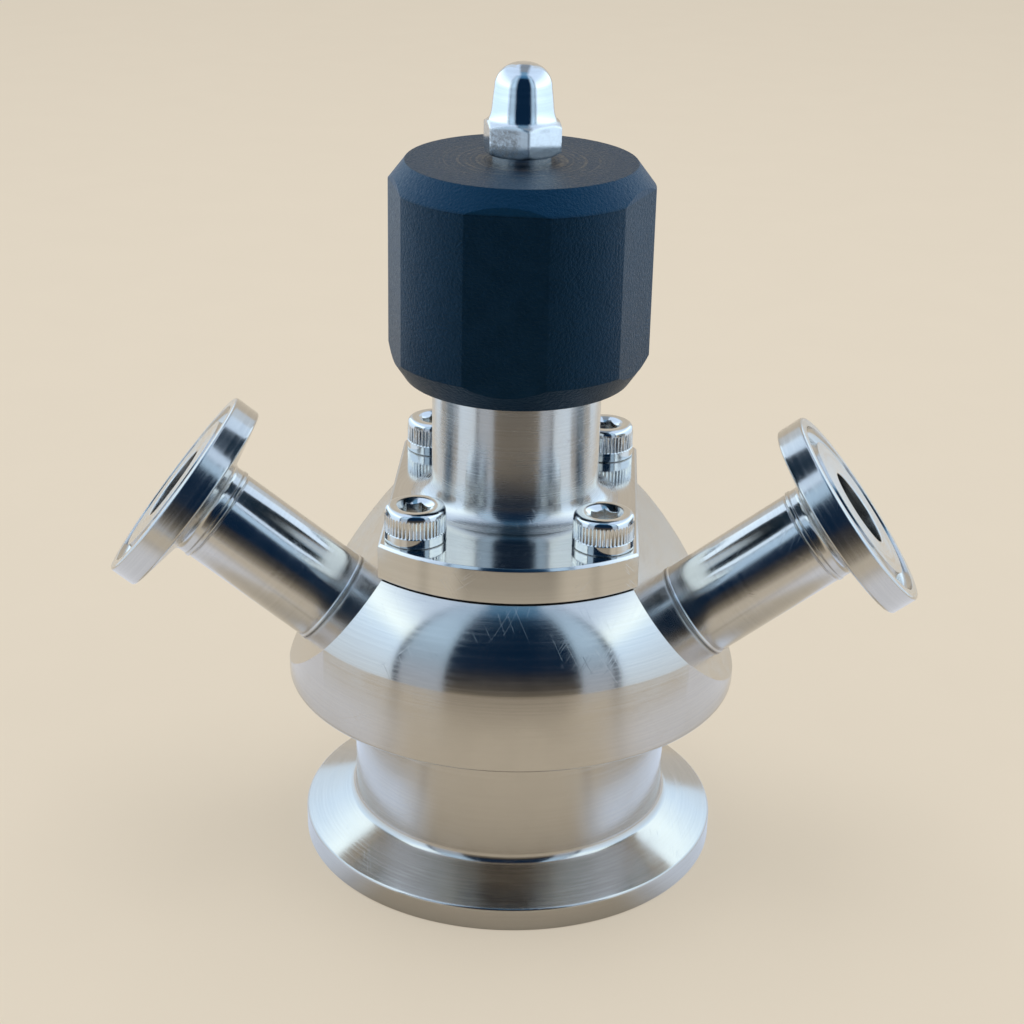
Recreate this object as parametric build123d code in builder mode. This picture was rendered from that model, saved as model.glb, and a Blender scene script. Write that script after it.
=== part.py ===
"""Sanitary sampling valve: clamp ferrule to the tank, two upward sample ports, rotating spindle under a plastic knob.

Frame: origin at the centre of the tank clamp face, +Z up the spindle, the two ports lie in the XZ plane.
All lengths are in millimetres. The valve is modelled closed.
"""

from build123d import *
from math import cos, radians, sin, tan
import os

os.makedirs("parts", exist_ok=True)

# ---------------------------------------------------------------- tank ferrule and neck
tank_flange_r = 25.25
tank_rim_h = 2.85
tank_back_angle = 24.0
tank_neck_r = 19.05
tank_neck_fillet = 1.2
tank_groove_r = 21.8
tank_groove_section_r = 1.35

# ---------------------------------------------------------------- turned body
disc_bottom_z = 22.08
disc_r = 26.98
band_top_z = 31.4
body_top_z = 40.12
shoulder_top_r = 21.7
shoulder_arc_r = 14.0
edge_break = 0.3

# ---------------------------------------------------------------- flow passage and seat
orifice_r = 5.0
seat_z = 5.0
chamber_r = 9.0
recess_r = 12.5
recess_z = 37.0

# ---------------------------------------------------------------- sample ports
port_angle = 37.2
port_origin_z = 13.3
port_flat_l = 27.5
port_weld_l = 44.5
port_face_l = 51.16
port_bore_r = 4.75
port_passage_r = 4.5
port_tube_r = 5.95
port_tube_chamfer = 0.55
port_flange_r = 12.65
port_rim_h = 3.28
port_back_angle = 12.0
port_hub_fillet = 2.3
port_groove_r = 10.2
port_groove_section_r = 1.15

# ---------------------------------------------------------------- bonnet
plate_gap = 0.35
plate_t = 4.0
plate_r = 21.76
plate_half_width = 14.58
plate_bevel = 0.45
neck_r = 9.82
neck_top_z = 70.0
neck_base_fillet = 2.4
spigot_h = 1.0
guide_bore_r = 6.5
nut_pocket_r = 7.5
nut_pocket_z = 56.5
keyway_reach_r = 7.6
keyway_top_z = 52.0

# ---------------------------------------------------------------- bonnet screws, M4 socket head
screw_x = 10.54
screw_y = 14.01
screw_shank_r = 2.0
screw_hole_clearance = 0.25
screw_depth = 8.0
screw_head_r = 3.5
screw_head_h = 4.0
screw_head_chamfer = 0.4
screw_socket_af = 3.0
screw_socket_depth = 2.0
screw_socket_sink_r = 2.1

# ---------------------------------------------------------------- diaphragm
diaphragm_flange_r = 12.4
diaphragm_wall_r = 6.6
diaphragm_bore_r = 5.2
diaphragm_tip_r = 7.4
diaphragm_tip_z = 5.2
diaphragm_tip_h = 5.0
diaphragm_floor_z = 11.0
seat_gap = 0.07

# ---------------------------------------------------------------- plunger group
plunger_rod_r = 4.9
plunger_guide_z = 41.0
plunger_top_z = 52.5
plunger_nose_gap = 0.3
coupling_bore_r = 4.6
coupling_floor_z = 45.6
guide_pin_r = 1.0
guide_pin_z = 47.0
guide_pin_gap = 0.3
ring_section_r = 0.8
ring_sides = 8
plunger_ring_z = 43.3
thrust_disc_t = 0.6
clip_t = 0.9
clip_opening = 60.0
stud_shank_r = 2.0
stud_head_r = 3.8
stud_head_h = 1.6
stud_head_z = 7.2
stud_top_z = 18.0

# ---------------------------------------------------------------- spindle, nut and pin
spindle_r = 5.0
spindle_button_h = 2.2
spindle_neck_r = 2.8
spindle_thread_z = 53.0
spindle_shoulder_z = 74.0
spindle_hex_af = 5.0
spindle_stud_r = 2.5
spindle_stud_end_z = 92.0
lock_pin_r = 1.0
lock_pin_z = 63.0
lock_pin_inner_r = 6.4
lock_pin_inset = 0.3
neck_ring_z = 66.5
neck_ring_gap = 0.1

# ---------------------------------------------------------------- knob, hub and cap nut
knob_r = 15.08
knob_bottom_z = 59.67
knob_top_z = 84.5
knob_top_face_r = 13.04
knob_top_bevel_h = 2.64
knob_bottom_face_r = 13.12
knob_bottom_bevel_h = 2.93
knob_bore_gap = 0.38
knob_flat_count = 5
knob_flat_offset = 14.35
knob_flat_azimuth = -93.7
hub_r = 6.5
hub_body_top_z = 82.0
hub_collar_r = 3.33
hub_collar_top_z = 85.4
cap_nut_af = 8.0
cap_nut_turn = 41.5
cap_nut_bevel_h = 0.45
cap_nut_hex_h = 3.6
cap_nut_h = 9.96
cap_nut_flare_r = 3.85
cap_nut_flare_h = 1.2
cap_nut_dome_r = 3.45
cap_nut_crown_r = 3.2
cap_nut_crown_h = 2.7

# ---------------------------------------------------------------- clearances
running_gap = 0.06
play = 0.1
assembly_gap = 0.02

# ---------------------------------------------------------------- derived places
screw_spots = [(sx * screw_x, sy * screw_y) for sx in (-1, 1) for sy in (-1, 1)]
plate_bottom_z = body_top_z + plate_gap
plate_top_z = plate_bottom_z + plate_t
spigot_bottom_z = plate_bottom_z - spigot_h
plunger_guide_r = guide_bore_r - running_gap
button_r = coupling_bore_r - running_gap - assembly_gap
button_bottom_z = coupling_floor_z + thrust_disc_t + assembly_gap
button_top_z = button_bottom_z + spindle_button_h
clip_z = button_top_z + play
clip_groove_r = coupling_bore_r + 0.4
knob_bore_r = neck_r + knob_bore_gap
cap_nut_bottom_z = hub_collar_top_z


def port_direction(side):
    """Unit vector along a port axis, away from the body; side is +1 or -1 along X."""
    return Vector(side * cos(radians(port_angle)), 0, sin(radians(port_angle)))


def port_axis(side):
    return Axis((0, 0, port_origin_z), port_direction(side))


def port_section_plane(side):
    """Plane through a port axis: local X runs along the axis, local Y is the radius."""
    return Plane(origin=(0, 0, port_origin_z), x_dir=port_direction(side), z_dir=(0, -1, 0))


def port_cross_plane(side, distance):
    """Plane square to a port axis, at a distance along it."""
    direction = port_direction(side)
    centre = Vector(0, 0, port_origin_z) + direction * distance
    return Plane(origin=centre, x_dir=(0, 1, 0), z_dir=direction)


def rings(part, radius, z):
    """Circular edges of a turned part at one radius and height."""
    circles = part.edges().filter_by(GeomType.CIRCLE)
    return circles.filter_by(lambda e: abs(e.radius - radius) < 0.01 and abs(e.arc_center.Z - z) < 0.01)


def finish(part, label):
    part.label = label
    export_step(part, f"parts/{label}.step")


# ================================================================ valve body
with BuildPart() as valve_body:
    tank_back_top_z = tank_rim_h + (tank_flange_r - tank_neck_r) * tan(radians(tank_back_angle))
    with BuildSketch(Plane.XZ) as body_outline:
        with BuildLine():
            Polyline(
                (0, 0),
                (tank_flange_r, 0),
                (tank_flange_r, tank_rim_h),
                (tank_neck_r, tank_back_top_z),
                (tank_neck_r, disc_bottom_z),
                (disc_r, disc_bottom_z),
                (disc_r, band_top_z),
            )
            RadiusArc((disc_r, band_top_z), (shoulder_top_r, body_top_z), -shoulder_arc_r)
            Polyline((shoulder_top_r, body_top_z), (0, body_top_z), (0, 0))
        make_face()
    revolve(axis=Axis.Z)
    fillet(rings(valve_body, tank_neck_r, tank_back_top_z), tank_neck_fillet)
    chamfer(rings(valve_body, tank_flange_r, 0), edge_break)
    chamfer(rings(valve_body, tank_flange_r, tank_rim_h), edge_break)
    chamfer(rings(valve_body, disc_r, disc_bottom_z), edge_break)

    # slanted flats that carry the port tubes
    for side in (-1, 1):
        with BuildSketch(port_cross_plane(side, port_flat_l)):
            Rectangle(4 * disc_r, 2 * disc_r)
        extrude(amount=disc_r, mode=Mode.SUBTRACT)

    # tank orifice, conical seat, chamber and diaphragm recess
    with BuildSketch(Plane.XZ):
        with BuildLine():
            Polyline(
                (0, 0),
                (orifice_r, 0),
                (orifice_r, seat_z),
                (chamber_r, seat_z + chamber_r - orifice_r),
                (chamber_r, recess_z),
                (recess_r, recess_z),
                (recess_r, body_top_z),
                (0, body_top_z),
                (0, 0),
            )
        make_face()
    revolve(axis=Axis.Z, mode=Mode.SUBTRACT)

    # port passages, from the flats into the chamber
    passage_end_l = chamber_r / 2 / cos(radians(port_angle))
    for side in (-1, 1):
        with BuildSketch(port_cross_plane(side, port_flat_l)):
            Circle(port_passage_r)
        extrude(amount=passage_end_l - port_flat_l, mode=Mode.SUBTRACT)

    # gasket groove in the clamp face
    with BuildSketch(Plane.XZ):
        with Locations((tank_groove_r, 0)):
            RegularPolygon(tank_groove_section_r, ring_sides)
    revolve(axis=Axis.Z, mode=Mode.SUBTRACT)

    with Locations(*[(x, y, body_top_z) for x, y in screw_spots]):
        Hole(screw_shank_r + assembly_gap, screw_depth + 1)
finish(valve_body.part, "valve_body")

# ================================================================ port tubes and ferrules
for side, name in ((-1, "left"), (1, "right")):
    with BuildPart() as port_tube:
        with BuildSketch(port_section_plane(side)):
            with BuildLine():
                Polyline(
                    (port_flat_l, port_bore_r),
                    (port_weld_l, port_bore_r),
                    (port_weld_l, port_tube_r),
                    (port_flat_l + port_tube_chamfer, port_tube_r),
                    (port_flat_l, port_tube_r - port_tube_chamfer),
                    (port_flat_l, port_bore_r),
                )
            make_face()
        revolve(axis=port_axis(side))
    finish(port_tube.part, f"{name}_port_tube")

    back_l = port_face_l - port_rim_h
    hub_end_l = back_l - (port_flange_r - port_tube_r) * tan(radians(port_back_angle))
    with BuildPart() as port_ferrule:
        with BuildSketch(port_section_plane(side)) as ferrule_outline:
            with BuildLine():
                Polyline(
                    (port_weld_l, port_bore_r),
                    (port_face_l, port_bore_r),
                    (port_face_l, port_flange_r - edge_break),
                    (port_face_l - edge_break, port_flange_r),
                    (back_l + edge_break, port_flange_r),
                    (back_l, port_flange_r - edge_break),
                    (hub_end_l, port_tube_r),
                    (port_weld_l, port_tube_r),
                    (port_weld_l, port_bore_r),
                )
            make_face()
            fillet(ferrule_outline.vertices().sort_by_distance((hub_end_l, port_tube_r, 0))[0], port_hub_fillet)
        revolve(axis=port_axis(side))
        with BuildSketch(port_section_plane(side)):
            with Locations((port_face_l, port_groove_r)):
                RegularPolygon(port_groove_section_r, ring_sides)
        revolve(axis=port_axis(side), mode=Mode.SUBTRACT)
    finish(port_ferrule.part, f"{name}_port_ferrule")

# ================================================================ bonnet: clamp plate, spigot and guide neck
with BuildPart() as bonnet:
    with BuildSketch(Plane.XY.offset(plate_bottom_z)):
        Circle(plate_r)
        Rectangle(2 * plate_half_width, 2 * plate_r, mode=Mode.INTERSECT)
    extrude(amount=plate_t)
    chamfer(bonnet.faces().sort_by(Axis.Z)[-1].edges(), plate_bevel)
    with BuildSketch(Plane.XY.offset(plate_bottom_z)):
        Circle(neck_r)
    extrude(amount=neck_top_z - plate_bottom_z)
    fillet(rings(bonnet, neck_r, plate_top_z), neck_base_fillet)
    chamfer(rings(bonnet, neck_r, neck_top_z), edge_break)
    with BuildSketch(Plane.XY.offset(spigot_bottom_z)):
        Circle(recess_r - play)
    extrude(amount=spigot_h)

    with BuildSketch(Plane.XY.offset(spigot_bottom_z)):
        Circle(guide_bore_r)
    extrude(amount=neck_top_z - spigot_bottom_z, mode=Mode.SUBTRACT)
    with BuildSketch(Plane.XY.offset(nut_pocket_z)):
        Circle(nut_pocket_r)
    extrude(amount=neck_top_z - nut_pocket_z, mode=Mode.SUBTRACT)

    # keyway that stops the plunger turning
    with BuildSketch(Plane.XY.offset(spigot_bottom_z)):
        with Locations((keyway_reach_r / 2, 0)):
            Rectangle(keyway_reach_r, 2 * (guide_pin_r + running_gap))
    extrude(amount=keyway_top_z - spigot_bottom_z, mode=Mode.SUBTRACT)

    with Locations(*[(x, y, plate_top_z) for x, y in screw_spots]):
        Hole(screw_shank_r + screw_hole_clearance, plate_t)

    # ring groove and pin hole, both covered by the knob
    ring_groove_r = knob_bore_r - neck_ring_gap - 2 * ring_section_r
    with BuildSketch(Plane.XY.offset(neck_ring_z - ring_section_r)):
        Circle(neck_r + 1)
        Circle(ring_groove_r, mode=Mode.SUBTRACT)
    extrude(amount=2 * ring_section_r, mode=Mode.SUBTRACT)
    with BuildSketch(Plane.XZ.offset(-neck_r)):
        with Locations((0, lock_pin_z)):
            Circle(lock_pin_r)
    extrude(amount=neck_r - nut_pocket_r + 1, mode=Mode.SUBTRACT)
finish(bonnet.part, "bonnet")

# ================================================================ bonnet screws
with BuildPart() as bonnet_screws:
    head_top_z = plate_top_z + screw_head_h
    for x, y in screw_spots:
        with Locations((x, y, plate_top_z)):
            Cylinder(screw_head_r, screw_head_h, align=(Align.CENTER, Align.CENTER, Align.MIN))
        with Locations((x, y, body_top_z - screw_depth)):
            shank_h = plate_top_z - body_top_z + screw_depth
            Cylinder(screw_shank_r, shank_h, align=(Align.CENTER, Align.CENTER, Align.MIN))
    chamfer(rings(bonnet_screws, screw_head_r, head_top_z), screw_head_chamfer)
    with BuildSketch(Plane.XY.offset(head_top_z)):
        with Locations(*screw_spots):
            RegularPolygon(screw_socket_af / 2, 6, major_radius=False)
    extrude(amount=-screw_socket_depth, mode=Mode.SUBTRACT)
    with Locations(*[(x, y, head_top_z) for x, y in screw_spots]):
        sink_h = screw_socket_sink_r - screw_socket_af / 2
        Cone(
            screw_socket_af / 2,
            screw_socket_sink_r,
            sink_h,
            align=(Align.CENTER, Align.CENTER, Align.MAX),
            mode=Mode.SUBTRACT,
        )
finish(bonnet_screws.part, "bonnet_screws")

# ================================================================ diaphragm
with BuildPart() as diaphragm:
    cone_r = orifice_r + diaphragm_tip_z - seat_z - seat_gap
    cone_top_z = diaphragm_tip_z + diaphragm_tip_r - cone_r
    tip_top_z = diaphragm_tip_z + diaphragm_tip_h
    with BuildSketch(Plane.XZ):
        with BuildLine():
            Polyline(
                (0, diaphragm_tip_z),
                (cone_r, diaphragm_tip_z),
                (diaphragm_tip_r, cone_top_z),
                (diaphragm_tip_r, tip_top_z),
                (diaphragm_wall_r, tip_top_z + 2 * (diaphragm_tip_r - diaphragm_wall_r)),
                (diaphragm_wall_r, recess_z),
                (diaphragm_flange_r, recess_z),
                (diaphragm_flange_r, spigot_bottom_z),
                (diaphragm_bore_r, spigot_bottom_z),
                (diaphragm_bore_r, diaphragm_floor_z),
                (stud_shank_r + play, diaphragm_floor_z),
                (stud_shank_r + play, stud_head_z + stud_head_h + play),
                (stud_head_r + play, stud_head_z + stud_head_h + play),
                (stud_head_r + play, stud_head_z - play),
                (0, stud_head_z - play),
                (0, diaphragm_tip_z),
            )
        make_face()
    revolve(axis=Axis.Z)
finish(diaphragm.part, "diaphragm")

# ================================================================ spindle nut and its locking pin
with BuildPart() as spindle_nut:
    with BuildSketch(Plane.XY.offset(nut_pocket_z)):
        Circle(nut_pocket_r)
        Circle(spindle_r + running_gap, mode=Mode.SUBTRACT)
    extrude(amount=neck_top_z - nut_pocket_z)
    with BuildSketch(Plane.XZ.offset(-nut_pocket_r)):
        with Locations((0, lock_pin_z)):
            Circle(lock_pin_r)
    extrude(amount=nut_pocket_r - lock_pin_inner_r, mode=Mode.SUBTRACT)
finish(spindle_nut.part, "spindle_nut")

with BuildPart() as nut_lock_pin:
    with BuildSketch(Plane.XZ.offset(-neck_r + lock_pin_inset)):
        with Locations((0, lock_pin_z)):
            Circle(lock_pin_r)
    extrude(amount=neck_r - lock_pin_inset - lock_pin_inner_r)
finish(nut_lock_pin.part, "nut_lock_pin")

# ================================================================ ring on the neck, inside the knob
with BuildPart() as neck_o_ring:
    with BuildSketch(Plane.XZ):
        with Locations((ring_groove_r + ring_section_r, neck_ring_z)):
            RegularPolygon(ring_section_r, ring_sides)
    revolve(axis=Axis.Z)
finish(neck_o_ring.part, "neck_o_ring")

# ================================================================ plunger group
with BuildPart() as plunger:
    nose_z = diaphragm_floor_z + plunger_nose_gap
    with BuildSketch(Plane.XZ):
        with BuildLine():
            Polyline(
                (0, nose_z),
                (plunger_rod_r, nose_z),
                (plunger_rod_r, plunger_guide_z),
                (plunger_guide_r, plunger_guide_z),
                (plunger_guide_r, plunger_ring_z - ring_section_r),
                (plunger_guide_r - 2 * ring_section_r, plunger_ring_z - ring_section_r),
                (plunger_guide_r - 2 * ring_section_r, plunger_ring_z + ring_section_r),
                (plunger_guide_r, plunger_ring_z + ring_section_r),
                (plunger_guide_r, plunger_top_z),
                (coupling_bore_r, plunger_top_z),
                (coupling_bore_r, clip_z + clip_t),
                (clip_groove_r, clip_z + clip_t),
                (clip_groove_r, clip_z),
                (coupling_bore_r, clip_z),
                (coupling_bore_r, coupling_floor_z),
                (0, coupling_floor_z),
                (0, nose_z),
            )
        make_face()
    revolve(axis=Axis.Z)
    with BuildSketch(Plane.XY.offset(nose_z)):
        Circle(stud_shank_r + assembly_gap)
    extrude(amount=stud_top_z - nose_z + play, mode=Mode.SUBTRACT)
    with BuildSketch(Plane.YZ.offset(plunger_guide_r)):
        with Locations((0, guide_pin_z)):
            Circle(guide_pin_r)
    extrude(amount=-plunger_guide_r, mode=Mode.SUBTRACT)
finish(plunger.part, "plunger")

with BuildPart() as plunger_guide_pin:
    with BuildSketch(Plane.YZ.offset(coupling_bore_r + play)):
        with Locations((0, guide_pin_z)):
            Circle(guide_pin_r)
    extrude(amount=keyway_reach_r - guide_pin_gap - coupling_bore_r - play)
finish(plunger_guide_pin.part, "plunger_guide_pin")

with BuildPart() as plunger_o_ring:
    with BuildSketch(Plane.XZ):
        with Locations((plunger_guide_r - ring_section_r, plunger_ring_z)):
            RegularPolygon(ring_section_r, ring_sides)
    revolve(axis=Axis.Z)
finish(plunger_o_ring.part, "plunger_o_ring")

with BuildPart() as thrust_disc:
    with BuildSketch(Plane.XY.offset(coupling_floor_z)):
        Circle(coupling_bore_r - assembly_gap)
    extrude(amount=thrust_disc_t)
finish(thrust_disc.part, "thrust_disc")

with BuildPart() as spindle_clip:
    with BuildSketch(Plane.XY.offset(clip_z)):
        Circle(clip_groove_r)
        Circle(spindle_neck_r + 3 * play, mode=Mode.SUBTRACT)
        with BuildLine():
            reach = 2 * clip_groove_r
            half = radians(clip_opening / 2)
            Polyline(
                (0, 0),
                (reach * cos(half), reach * sin(half)),
                (reach * cos(half), -reach * sin(half)),
                (0, 0),
            )
        make_face(mode=Mode.SUBTRACT)
    extrude(amount=clip_t)
finish(spindle_clip.part, "spindle_clip")

with BuildPart() as diaphragm_stud:
    with BuildSketch(Plane.XZ):
        with BuildLine():
            Polyline(
                (0, stud_head_z),
                (stud_head_r, stud_head_z),
                (stud_head_r, stud_head_z + stud_head_h),
                (stud_shank_r, stud_head_z + stud_head_h),
                (stud_shank_r, stud_top_z),
                (0, stud_top_z),
                (0, stud_head_z),
            )
        make_face()
    revolve(axis=Axis.Z)
finish(diaphragm_stud.part, "diaphragm_stud")

# ================================================================ spindle
with BuildPart() as spindle:
    with BuildSketch(Plane.XZ):
        with BuildLine():
            Polyline(
                (0, button_bottom_z),
                (button_r, button_bottom_z),
                (button_r, button_top_z),
                (spindle_neck_r, button_top_z),
                (spindle_neck_r, spindle_thread_z),
                (spindle_r, spindle_thread_z),
                (spindle_r, spindle_shoulder_z),
                (0, spindle_shoulder_z),
                (0, button_bottom_z),
            )
        make_face()
    revolve(axis=Axis.Z)
    with BuildSketch(Plane.XY.offset(spindle_shoulder_z)):
        RegularPolygon(spindle_hex_af / 2, 6, major_radius=False)
    extrude(amount=hub_collar_top_z - spindle_shoulder_z - play)
    with BuildSketch(Plane.XY.offset(spindle_shoulder_z)):
        Circle(spindle_stud_r)
    extrude(amount=spindle_stud_end_z - spindle_shoulder_z)
    chamfer(rings(spindle, spindle_stud_r, spindle_stud_end_z), edge_break)
finish(spindle.part, "spindle")

# ================================================================ knob hub and knob
with BuildPart() as knob_hub:
    with BuildSketch(Plane.XY.offset(spindle_shoulder_z)):
        Circle(hub_r)
    extrude(amount=hub_body_top_z - spindle_shoulder_z)
    with BuildSketch(Plane.XY.offset(hub_body_top_z)):
        Circle(hub_collar_r)
    extrude(amount=hub_collar_top_z - hub_body_top_z)
    with BuildSketch(Plane.XY.offset(spindle_shoulder_z)):
        RegularPolygon(spindle_hex_af / 2 + assembly_gap, 6, major_radius=False)
    extrude(amount=hub_collar_top_z - spindle_shoulder_z, mode=Mode.SUBTRACT)
finish(knob_hub.part, "knob_hub")

with BuildPart() as knob:
    with BuildSketch(Plane.XZ):
        with BuildLine():
            Polyline(
                (knob_bore_r, knob_bottom_z),
                (knob_bottom_face_r, knob_bottom_z),
                (knob_r, knob_bottom_z + knob_bottom_bevel_h),
                (knob_r, knob_top_z - knob_top_bevel_h),
                (knob_top_face_r, knob_top_z),
                (hub_collar_r, knob_top_z),
                (hub_collar_r, hub_body_top_z),
                (hub_r, hub_body_top_z),
                (hub_r, spindle_shoulder_z),
                (knob_bore_r, spindle_shoulder_z),
                (knob_bore_r, knob_bottom_z),
            )
        make_face()
    revolve(axis=Axis.Z)
    # grip flats
    with BuildSketch(Plane.XY.offset(knob_bottom_z)):
        with PolarLocations(knob_flat_offset, knob_flat_count, start_angle=knob_flat_azimuth):
            Rectangle(knob_r, 2 * knob_r, align=(Align.MIN, Align.CENTER))
    extrude(amount=knob_top_z - knob_bottom_z, mode=Mode.SUBTRACT)
finish(knob.part, "knob")

# ================================================================ domed cap nut
with BuildPart() as acorn_nut:
    hex_top_z = cap_nut_bottom_z + cap_nut_hex_h
    hex_corner_r = cap_nut_af / 2 / cos(radians(30))
    cap_nut_top_z = cap_nut_bottom_z + cap_nut_h
    crown_z = cap_nut_top_z - cap_nut_crown_h
    with BuildSketch(Plane.XY.offset(cap_nut_bottom_z)):
        RegularPolygon(cap_nut_af / 2, 6, major_radius=False, rotation=cap_nut_turn)
    extrude(amount=cap_nut_hex_h)
    # both ends of the hexagon are turned off at its corners
    with BuildSketch(Plane.XZ):
        with BuildLine():
            Polyline(
                (0, cap_nut_bottom_z),
                (cap_nut_af / 2, cap_nut_bottom_z),
                (hex_corner_r, cap_nut_bottom_z + cap_nut_bevel_h),
                (hex_corner_r, hex_top_z - cap_nut_bevel_h),
                (cap_nut_af / 2, hex_top_z),
                (0, hex_top_z),
                (0, cap_nut_bottom_z),
            )
        make_face()
    revolve(axis=Axis.Z, mode=Mode.INTERSECT)
    with BuildSketch(Plane.XZ):
        with BuildLine():
            Polyline(
                (0, cap_nut_top_z),
                (0, hex_top_z),
                (cap_nut_flare_r, hex_top_z),
                (cap_nut_dome_r, hex_top_z + cap_nut_flare_h),
                (cap_nut_crown_r, crown_z),
            )
            Bezier(
                (cap_nut_crown_r, crown_z),
                (cap_nut_crown_r, crown_z + cap_nut_crown_h / 2),
                (cap_nut_crown_r * 2 / 3, cap_nut_top_z),
                (0, cap_nut_top_z),
            )
        make_face()
    revolve(axis=Axis.Z)
    with BuildSketch(Plane.XY.offset(cap_nut_bottom_z)):
        Circle(spindle_stud_r + assembly_gap)
    extrude(amount=spindle_stud_end_z - cap_nut_bottom_z + play, mode=Mode.SUBTRACT)
finish(acorn_nut.part, "acorn_nut")
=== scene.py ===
"""Looks of the sanitary sampling valve: fine turned meshes, metal and plastic finishes, light tent and camera.

Lengths are in millimetres and become metres through MM. Profiles are (radius, height) points about a piece's own axis.
"""

from math import acos, atan2, cos, pi, radians, sin, sqrt, tan

import bmesh
import bpy
from mathutils import Matrix, Vector


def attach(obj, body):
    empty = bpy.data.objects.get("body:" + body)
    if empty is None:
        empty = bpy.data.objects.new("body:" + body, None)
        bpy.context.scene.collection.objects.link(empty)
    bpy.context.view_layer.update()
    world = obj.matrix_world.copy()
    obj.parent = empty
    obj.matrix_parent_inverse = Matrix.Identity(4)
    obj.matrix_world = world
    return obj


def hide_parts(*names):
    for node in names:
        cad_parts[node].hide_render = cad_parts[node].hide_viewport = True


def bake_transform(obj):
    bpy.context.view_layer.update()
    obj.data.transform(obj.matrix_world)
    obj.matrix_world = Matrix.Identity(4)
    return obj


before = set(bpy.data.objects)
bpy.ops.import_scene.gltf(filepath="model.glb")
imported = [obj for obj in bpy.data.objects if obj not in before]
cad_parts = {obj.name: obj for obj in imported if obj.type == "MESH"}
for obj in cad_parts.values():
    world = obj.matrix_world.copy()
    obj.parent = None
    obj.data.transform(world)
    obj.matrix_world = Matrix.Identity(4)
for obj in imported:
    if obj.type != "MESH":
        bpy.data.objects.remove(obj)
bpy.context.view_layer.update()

MM = 0.001
SEGMENTS = 320

# ---------------------------------------------------------------- sizes, as in the CAD model
TANK_FLANGE_R = 25.25
TANK_RIM_H = 2.85
TANK_BACK_ANGLE = 24.0
TANK_NECK_R = 19.05
TANK_GROOVE_R = 21.8
TANK_GROOVE_SECTION_R = 1.35
DISC_BOTTOM_Z = 22.08
DISC_R = 26.98
BAND_TOP_Z = 31.4
BODY_TOP_Z = 40.12
SHOULDER_TOP_R = 21.7
SHOULDER_ARC_R = 14.0
ORIFICE_R = 5.0
SEAT_Z = 5.0
CHAMBER_R = 9.0
RECESS_R = 12.5
RECESS_Z = 37.0

PORT_ANGLE = 37.2
PORT_ORIGIN_Z = 13.3
PORT_FLAT_L = 27.5
PORT_WELD_L = 44.5
PORT_FACE_L = 51.16
PORT_BORE_R = 4.75
PORT_TUBE_R = 5.95
PORT_FLANGE_R = 12.65
PORT_RIM_H = 3.28
PORT_BACK_ANGLE = 12.0
PORT_HUB_FILLET = 2.3
PORT_GROOVE_R = 10.2
PORT_GROOVE_SECTION_R = 1.15

PLATE_BOTTOM_Z = 40.47
PLATE_TOP_Z = 44.47
PLATE_R = 21.76
PLATE_HALF_WIDTH = 14.58
PLATE_BEVEL = 0.28
PLATE_LIP = 0.17
NECK_R = 9.82
NECK_TOP_Z = 70.0
NECK_FILLET = 2.4

SCREW_X, SCREW_Y = 10.54, 14.01
SCREW_HEAD_R = 3.5
SCREW_HEAD_H = 4.0
SCREW_TEETH = 46

KNOB_R = 15.08
KNOB_BOTTOM_Z = 59.67
KNOB_TOP_Z = 84.5
KNOB_TOP_FACE_R = 13.04
KNOB_TOP_BEVEL_H = 2.64
KNOB_BOTTOM_FACE_R = 13.12
KNOB_BOTTOM_BEVEL_H = 2.93
KNOB_BORE_R = 10.2
KNOB_BORE_TOP_Z = 74.0
KNOB_FLATS = 5
KNOB_FLAT_OFFSET = 14.35
KNOB_FLAT_AZIMUTH = -93.7

CAP_NUT_BOTTOM_Z = 85.4
CAP_NUT_AF = 8.0
CAP_NUT_TURN = 41.5
CAP_NUT_HEX_H = 3.6
CAP_NUT_BEVEL_H = 0.45
CAP_NUT_TOP_Z = 95.36


# ================================================================ mesh tools
def soften(corners, steps=5, support=0.1):
    """Outline with rounded corners. A corner is (r, z) or (r, z, radius); straight runs get points beside each arc."""
    outline = []
    count = len(corners)
    for i, corner in enumerate(corners):
        tip = Vector(corner[:2])
        radius = corner[2] if len(corner) > 2 else 0
        if radius == 0:
            outline.append(tuple(tip))
            continue
        before = Vector(corners[i - 1][:2]) - tip
        after = Vector(corners[(i + 1) % count][:2]) - tip
        half = before.angle(after) / 2
        reach = min(radius / tan(half), 0.48 * before.length, 0.48 * after.length)
        radius = reach * tan(half)
        towards = (before.normalized() + after.normalized()).normalized()
        centre = tip + towards * (radius / sin(half))
        first = tip + before.normalized() * reach - centre
        last = tip + after.normalized() * reach - centre
        turn = atan2(first.x * last.y - first.y * last.x, first.dot(last))
        outline.append(tuple(tip + before.normalized() * (reach + min(support, 0.02 * before.length + 0.02))))
        for k in range(steps + 1):
            a = turn * k / steps
            spoke = Vector((first.x * cos(a) - first.y * sin(a), first.x * sin(a) + first.y * cos(a)))
            outline.append(tuple(centre + spoke))
        outline.append(tuple(tip + after.normalized() * (reach + min(support, 0.02 * after.length + 0.02))))
    return outline


def arc(start, end, radius, steps=16, left=True):
    """Points between start and end, both left out, on an arc that bulges to the left or right of the way."""
    a, b = Vector(start), Vector(end)
    chord = b - a
    normal = Vector((-chord.y, chord.x)).normalized() * (1 if left else -1)
    rise = sqrt(radius * radius - chord.length_squared / 4)
    centre = (a + b) / 2 - normal * rise
    first, last = a - centre, b - centre
    turn = atan2(first.x * last.y - first.y * last.x, first.dot(last))
    points = []
    for k in range(1, steps):
        t = turn * k / steps
        points.append((centre.x + first.x * cos(t) - first.y * sin(t), centre.y + first.x * sin(t) + first.y * cos(t)))
    return points


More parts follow.
